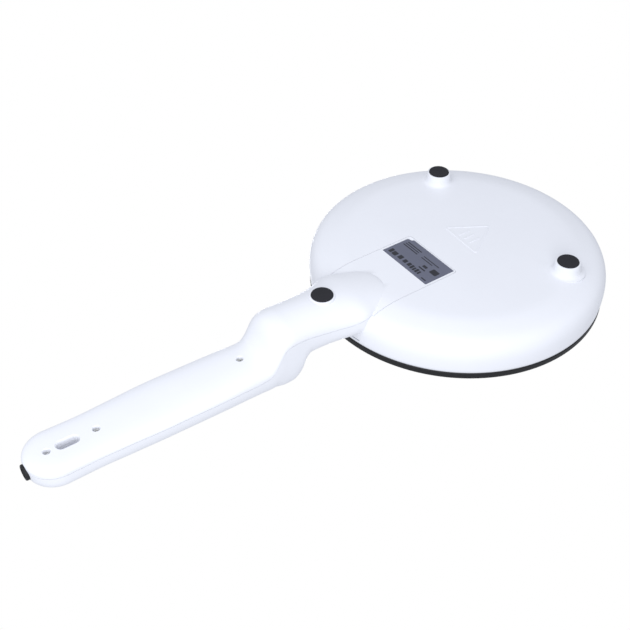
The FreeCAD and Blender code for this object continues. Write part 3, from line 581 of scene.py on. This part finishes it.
def rounded_plate(reach, half_length, half_width, z, corner=1.2, points=40):
    """A rectangle with rounded corners at one height."""
    outline = []
    for k in range(points):
        angle = 2 * math.pi * (k + 0.5) / points
        x = math.copysign(half_length - corner, math.cos(angle)) + corner * math.cos(angle)
        y = math.copysign(half_width - corner, math.sin(angle)) + corner * math.sin(angle)
        outline.append((AXIS_X + reach + x, y, z))
    return outline


SWITCH_REACH = 196.0
SWITCH_SEAT = 45.6
# half length, half width and height of the opening, and above it of the bezel's seat
SWITCH_STEPS = (
    (10.6, 6.9, 30.0), (10.6, 6.9, SWITCH_SEAT), (13.2, 8.7, SWITCH_SEAT + 0.01), (13.2, 8.7, 60.0),
)
cutters.append(stacked("switch_cut", [rounded_plate(SWITCH_REACH, *step) for step in SWITCH_STEPS]))
LAMP_REACH, LAMP_SIDE = 172.0, 6.5
LAMP_HOLE = ((0.0, 38.0), (2.72, 38.0), (2.72, 60.0), (0.0, 60.0))
for side in (-1, 1):
    cutters.append(turned("lamp_hole", LAMP_HOLE, (AXIS_X + LAMP_REACH, side * LAMP_SIDE, 0), 40))
VENT_SIDE = 17.5
VENT_HEIGHTS = (31.9, 33.2)
VENT_CORNERS = ((92.0, -3.5), (106.0, -3.5), (106.0, 3.5), (92.0, 3.5))
for side in (-1, 1):
    vent_rows = [[(AXIS_X + r, side * VENT_SIDE + y, z) for r, y in VENT_CORNERS] for z in VENT_HEIGHTS]
    cutters.append(stacked("vent", vent_rows))
print(len(cutters), "cutting tools")

# %% Join, hollow and drill
shell = combine(housing, handle, "UNION")
shell = combine(shell, join("posts", posts), "UNION")
shell = combine(shell, housing_hollow, "DIFFERENCE")
shell = combine(shell, handle_hollow, "DIFFERENCE")
shell = combine(shell, join("ribs", ribs), "UNION")
shell = combine(shell, sleeve, "UNION")
shell = combine(shell, join("cutters", cutters), "DIFFERENCE")
shell = combine(shell, slot_cut, "DIFFERENCE")

# %% [markdown]
# ## Parting the two mouldings
# The lower cover is everything under the seam line and, beneath the plate, a square-ended
# tongue with rounded corners that lies flush in the housing's floor. A form that follows the
# seam is used twice: as it is, it crops the cover out, and a hair larger, it clears the body,
# so a thin open line stays between them, as in any two mouldings that close on each other.

# %% The parting form
SEAM_GAP = 0.26
TONGUE_END = 22.5
TONGUE_CORNER = 2.0
TONGUE_SEAM = 12.0
FORM_LOW = -6.0
# reach, and half the cover's width there: the tongue's, then wider than the handle
tongue_side = smooth_rows((
    (24.5, 24.5), (60, 24.5), (88, 24.5), (92, 24.8), (96, 26.0), (100, 28.5), (106, 34.0), (340, 34.0),
))


def seam_height(reach):
    """The seam runs level under the plate and follows the handle's sections after that."""
    return section_at(reach)[2] if reach > SECTIONS[0][0] else TONGUE_SEAM


def parting_form(name, grow):
    """The room of the lower cover, from its tongue's end to past the handle's tip."""
    start, corner = TONGUE_END - grow, TONGUE_CORNER + grow
    outlines = []
    reaches = [start + corner * (1 - math.cos(math.pi / 2 * k / 6)) for k in range(6)]
    reaches += [24.5 + 4.0 * k for k in range(16)]
    reaches += [r for r in stations() if r > 86.0][:-1] + [TIP_REACH, 312.0, 340.0]
    for reach in reaches:
        half = tongue_side(max(24.5, reach))[0] + grow
        if reach < start + corner:
            behind = corner - (reach - start)
            half -= corner - math.sqrt(max(0.0, corner * corner - behind * behind))
        high = seam_height(min(reach, TIP_REACH)) + grow
        x = AXIS_X + reach
        across = ((half, FORM_LOW), (half, high), (0.0, high))
        across += ((-half, high), (-half, FORM_LOW), (0.0, FORM_LOW))
        outlines.append([(x, y, z) for y, z in across])
    return stacked(name, outlines)


lower_cover = twin(shell, "lower_cover_shell")
lower_cover = combine(lower_cover, parting_form("cover_room", -SEAM_GAP / 2), "INTERSECT")
body = start_from(shell, "body_moulding")
body = combine(body, parting_form("cover_gap", SEAM_GAP / 2), "DIFFERENCE")
LABEL_REACH = 35.75
pocket_rows = [rounded_plate(LABEL_REACH, 12.45, 22.9, z, 0.8) for z in (6.0, 8.92)]
label_pocket = stacked("label_pocket", pocket_rows)
lower_cover = combine(lower_cover, label_pocket, "DIFFERENCE")
for piece, node in ((body, "body_shell"), (lower_cover, "lower_cover")):
    close_mesh(piece, fill=True)
    finish_piece(piece, node, "white_plastic")

# %% [markdown]
# ## The cooking plate
# A thin aluminium dome, rolled over at its rim and coated. It is turned from one closed
# outline, the way it is spun on a lathe, with a real underside above the heating ring.

# %% Turn the plate
def arc_points(radius, rise, top, count):
    """Points along a shallow dome from its edge to its middle."""
    ball = (radius * radius + rise * rise) / (2 * rise)
    found = []
    for k in range(count + 1):
        r = radius * (1 - k / count)
        found.append((r, top - ball + math.sqrt(ball * ball - r * r)))
    return found


ROLLED_EDGE = [(99.0, 36.02), (101.75, 36.02), (102.0, 36.3), (102.0, 39.3), (101.9, 39.75), (101.6, 40.3),
               (101.15, 40.72), (100.7, 40.95)]
plate_outline = ROLLED_EDGE + arc_points(100.3, 7.4, 48.5, 30)
plate_outline += list(reversed(arc_points(97.0, 6.9, 44.6, 20)))
plate_outline += [(98.2, 36.6)]
plate = turned("plate_dome", plate_outline, (AXIS_X, 0, 0), 180)
finish_piece(plate, "cooking_plate", "non_stick_coating")

# %% [markdown]
# ## Rubber pads
# Each pad is a button with a rounded lip and a slightly hollow sole, so that it grips on its
# rim. One is turned at each foot's place.

# %% Turn the pads
PAD = ((0.0, 0.22), (3.0, 0.2), (5.2, 0.1), (6.2, 0.02), (6.6, 0.0), (6.95, 0.08), (7.16, 0.28), (7.25, 0.6),
       (7.25, 2.85), (0.0, 2.85))
for node in ("foot_left", "foot_right", "foot_neck"):
    finish_piece(turned("pad_" + node, PAD, middle_of(node), 64), node, "foot_rubber")

# %% [markdown]
# ## The rating label
# A thin film let into the tongue, one corner notched round a mould mark. Its print is left
# generic: rows of plain bars and blocks in place of words and signs.

# %% Label and its print
LABEL_LOW, LABEL_HIGH = 8.65, 8.9
LABEL_HALF_WIDTH = 22.7
LABEL_LENGTH = 24.5
LABEL_FAR = 48.0


def label_outline(z, inset):
    """The label's edge, with its notched corner."""
    near, far = LABEL_FAR - LABEL_LENGTH + inset, LABEL_FAR - inset
    half = LABEL_HALF_WIDTH - inset
    notch = ((26.3, half), (25.5, 21.9), (25.4, 20.9), (25.2, 19.9), (24.4, 19.2), (near, 19.0))
    corners = ((near, -half), (far, -half), (far, half)) + notch
    return [(AXIS_X + r, y, z) for r, y in corners]


label = stacked("label", [label_outline(LABEL_HIGH, 0.0), label_outline(LABEL_LOW + 0.05, 0.0),
                          label_outline(LABEL_LOW, 0.06)])
finish_piece(label, "rating_label", "label_film", angle=20.0)

# across the label from its left edge, and up from the edge nearer the handle, as shares
BARS = (
    (0.055, 0.38, 0.645, 0.680), (0.060, 0.37, 0.725, 0.755), (0.065, 0.385, 0.800, 0.835),
    (0.480, 0.82, 0.740, 0.770), (0.475, 0.72, 0.655, 0.685), (0.800, 0.935, 0.420, 0.615),
    (0.620, 0.757, 0.330, 0.375), (0.640, 0.725, 0.430, 0.520), (0.050, 0.110, 0.110, 0.290),
    (0.125, 0.215, 0.110, 0.270), (0.250, 0.330, 0.130, 0.290), (0.370, 0.440, 0.130, 0.270),
    (0.470, 0.530, 0.130, 0.270), (0.545, 0.590, 0.110, 0.270), (0.605, 0.640, 0.110, 0.250),
    (0.655, 0.700, 0.110, 0.270), (0.715, 0.750, 0.110, 0.250), (0.840, 0.935, 0.080, 0.120),
)
bars = []
for left, right, low, high in BARS:
    middle_y = LABEL_HALF_WIDTH * (1 - left - right)
    middle_r = LABEL_FAR - LABEL_LENGTH * (low + high) / 2
    half_y, half_r = LABEL_HALF_WIDTH * (right - left), LABEL_LENGTH / 2 * (high - low)
    rows = [rounded_plate(middle_r, half_r, half_y, z, min(half_r, half_y) * 0.35, 20)
            for z in (LABEL_LOW + 0.02, LABEL_LOW - 0.03)]
    rows = [[(x, y + middle_y, z) for x, y, z in row] for row in rows]
    bars.append(stacked("bar", rows))
finish_piece(join("label_print", bars), None, "label_film", angle=20.0, look="label_ink")

# %% [markdown]
# ## The moulded mark
# A raised triangle with three straight bars stands on the flat underside. It is a plain
# stand-in for a hot-surface sign: a ring cut from two rounded triangles, a quarter
# millimetre high.

# %% Raise the mark
MARK_CORNERS = ((-3.3, 18.4), (-31.3, 1.3), (-1.2, -17.8))
MARK_LOW, MARK_HIGH = 8.22, 8.62
MARK_BEVEL = 0.1
STROKE_REACH = -10.5


def rounded_triangle(inset, corner, z):
    """The mark's outline, its corners rounded, moved inwards by inset."""
    middle = [sum(c[k] for c in MARK_CORNERS) / 3 for k in (0, 1)]
    outline = []
    for i, here in enumerate(MARK_CORNERS):
        before, after = MARK_CORNERS[i - 1], MARK_CORNERS[(i + 1) % 3]
        towards = [Vector((p[0] - here[0], p[1] - here[1])).normalized() for p in (before, after)]
        bisect = (towards[0] + towards[1]).normalized()
        half_angle = math.acos(max(-1.0, min(1.0, bisect.dot(towards[0]))))
        centre = Vector(here) + bisect * ((inset + corner) / math.sin(half_angle))
        normals = [Vector((-t.y, t.x)) for t in towards]
        normals = [n if n.dot(bisect) < 0 else -n for n in normals]
        for k in range(7):
            blend = (normals[0] * (1 - k / 6) + normals[1] * (k / 6)).normalized()
            spot = centre + blend * corner
            outline.append((AXIS_X + spot.x, spot.y, z))
    return outline


mark_rows = [rounded_triangle(0.0, 1.6, z) for z in (MARK_HIGH, MARK_LOW + MARK_BEVEL)]
mark_rows.append(rounded_triangle(0.12, 1.5, MARK_LOW))
mark = stacked("mark", mark_rows)
mark_inner = stacked("mark_inner", [rounded_triangle(1.15, 0.6, z) for z in (9.5, 7.5)])
mark = combine(mark, mark_inner, "DIFFERENCE")
strokes = []
for y in (-5.0, 0.2, 5.4):
    rows = []
    for z, inset in ((MARK_HIGH, 0.0), (MARK_LOW + MARK_BEVEL, 0.0), (MARK_LOW, 0.12)):
        row = stadium(STROKE_REACH, 4.6 - inset, 0.75 - inset, z, 20)
        rows.append([(px, py + y, pz) for px, py, pz in row])
    strokes.append(stacked("stroke", rows))
mark = join("raised_mark", [mark] + strokes)
finish_piece(mark, None, "white_plastic", angle=30.0)

# %% [markdown]
# ## Cord gland
# A rubber bushing: a rounded collar outside, a neck through the wall, a flange behind it and a
# smooth bore. It is one closed ring of an outline, turned about the handle's own direction.

# %% Turn the gland
GLAND = (
    (3.3, 315.25), (3.9, 315.2), (4.5, 315.25), (4.75, 315.5), (4.75, 316.2), (4.4, 316.4), (4.4, 320.4),
    (4.85, 320.42), (5.0, 320.6), (5.0, 322.2), (4.9, 322.65), (4.6, 322.95), (4.4, 323.0), (3.9, 322.95),
    (3.5, 322.75), (3.3, 322.3),
)
finish_piece(turned("gland", GLAND, (AXIS_X, 0, GLAND_Z), 56, along_x=True), "cord_gland", "gland_rubber")

# %% [markdown]
# ## Switch and lamps
# On the hidden side of the grip sits a rocker switch in a bezel, with a red and a green lamp
# in front of it. The bezel is a stack of rounded outlines with a stepped edge and a well. The
# rocker is a short barrel whose top is pressed into two shallow slopes, with ribs for the
# thumb.

# %% Bezel
# height, and how far the rim's edge is set in there
BEZEL_RIM = ((45.62, 0.0), (46.9, 0.0), (47.25, 0.15), (47.45, 0.5), (47.5, 0.9))
bezel_rows = [rounded_plate(SWITCH_REACH, 10.4, 6.7, z, 0.8) for z in (33.0, 45.55)]
for z, inset in BEZEL_RIM:
    bezel_rows.append(rounded_plate(SWITCH_REACH, 13.0 - inset, 8.5 - inset, z, 1.2))
bezel = stacked("bezel", bezel_rows)
well = [rounded_plate(SWITCH_REACH, 9.3, 5.5, z, 0.5) for z in (35.0, 46.9)]
well += [rounded_plate(SWITCH_REACH, 9.6, 5.8, 47.6, 0.7), rounded_plate(SWITCH_REACH, 9.6, 5.8, 52.0, 0.7)]
bezel = combine(bezel, stacked("well", well), "DIFFERENCE")
finish_piece(bezel, "switch_housing", "black_plastic")

# %% Rocker
ROCKER_Z = 45.6
ROCKER_R = 8.9
LEAN = math.radians(9.5)
MIDDLE_HEIGHT = 1.5
RIB_PLACES = (4.4, 5.6, 6.8)
RIB_SHAPE = ((-0.45, 0.0), (-0.2, 0.22), (0.2, 0.22), (0.45, 0.0))


def rocker_profile(inset):
    """The rocker's side view: a low V with three thumb ribs on each slope, and a barrel below."""
    radius = ROCKER_R - inset
    spots = [(0.0, 0.0)]
    spots += [(rib + across, lift) for rib in RIB_PLACES for across, lift in RIB_SHAPE]
    spots.append((8.2 - inset, 0.0))
    top = [(x, MIDDLE_HEIGHT + x * math.tan(LEAN) + lift) for x, lift in spots]
    side = [(math.sqrt(radius ** 2 - z * z), z) for z in (2.55, 1.7, 0.6, -0.6, -1.6, -2.4)]
    half = [(x, z - inset) for x, z in top] + side + [(3.0, -3.6), (1.2, -6.4 + inset)]
    return half + [(-x, z) for x, z in reversed(half[1:])]


# across the rocker, and how far its rounded edges are set in there
ROCKER_ACROSS = ((-5.2, 0.25), (-5.08, 0.08), (-4.9, 0.0), (4.9, 0.0), (5.08, 0.08), (5.2, 0.25))
rocker_rows = []
for across, inset in ROCKER_ACROSS:
    row = []
    for x, z in rocker_profile(inset):
        leant = Matrix.Rotation(LEAN, 3, "Y") @ Vector((x, 0.0, z))
        row.append((AXIS_X + SWITCH_REACH + leant.x, across, ROCKER_Z + leant.z))
    rocker_rows.append(row)
finish_piece(stacked("rocker_cap", rocker_rows), "switch_rocker", "rocker_plastic", "rocker", 25.0)

# %% Lamp lenses
LENS = ((0.0, 46.2), (1.2, 46.1), (1.9, 45.6), (1.9, 42.05), (2.6, 42.05), (2.6, 47.4), (2.5, 47.9),
        (2.2, 48.25), (1.6, 48.5), (0.8, 48.58), (0.0, 48.6))
for node, slot_name in (("power_lamp_lens", "red_lens"), ("ready_lamp_lens", "green_lens")):
    finish_piece(turned("jewel_" + node, LENS, middle_of(node), 40), node, slot_name)

# %% [markdown]
# ## The floor
# The visual model may not outgrow the part it stands for.

# %% Floor
FLOOR_SIZE = 80.0
PAPER_COLOUR = (0.93, 0.93, 0.935, 1.0)
bpy.ops.object.select_all(action="DESELECT")
bpy.ops.mesh.primitive_plane_add(size=FLOOR_SIZE, location=(0, 0, 0))
floor = start_from(bpy.context.active_object, "floor")
paper = bpy.data.materials.new("paper")
paper.use_nodes = True
sheet = paper.node_tree
paper_shader = sheet.nodes["Principled BSDF"]
paper_shader.inputs["Base Color"].default_value = PAPER_COLOUR
paper_shader.inputs["Roughness"].default_value = 0.9
paper_clear = sheet.nodes.new("ShaderNodeBsdfTransparent")
paper_side = sheet.nodes.new("ShaderNodeNewGeometry")
paper_mix = sheet.nodes.new("ShaderNodeMixShader")
sheet.links.new(paper_side.outputs["Backfacing"], paper_mix.inputs[0])
sheet.links.new(paper_shader.outputs[0], paper_mix.inputs[1])
sheet.links.new(paper_clear.outputs[0], paper_mix.inputs[2])
sheet.links.new(paper_mix.outputs[0], sheet.nodes["Material Output"].inputs["Surface"])
floor.data.materials.append(paper)
floor.visible_shadow = False
floor.visible_diffuse = False
floor.visible_glossy = False
floor.visible_transmission = False
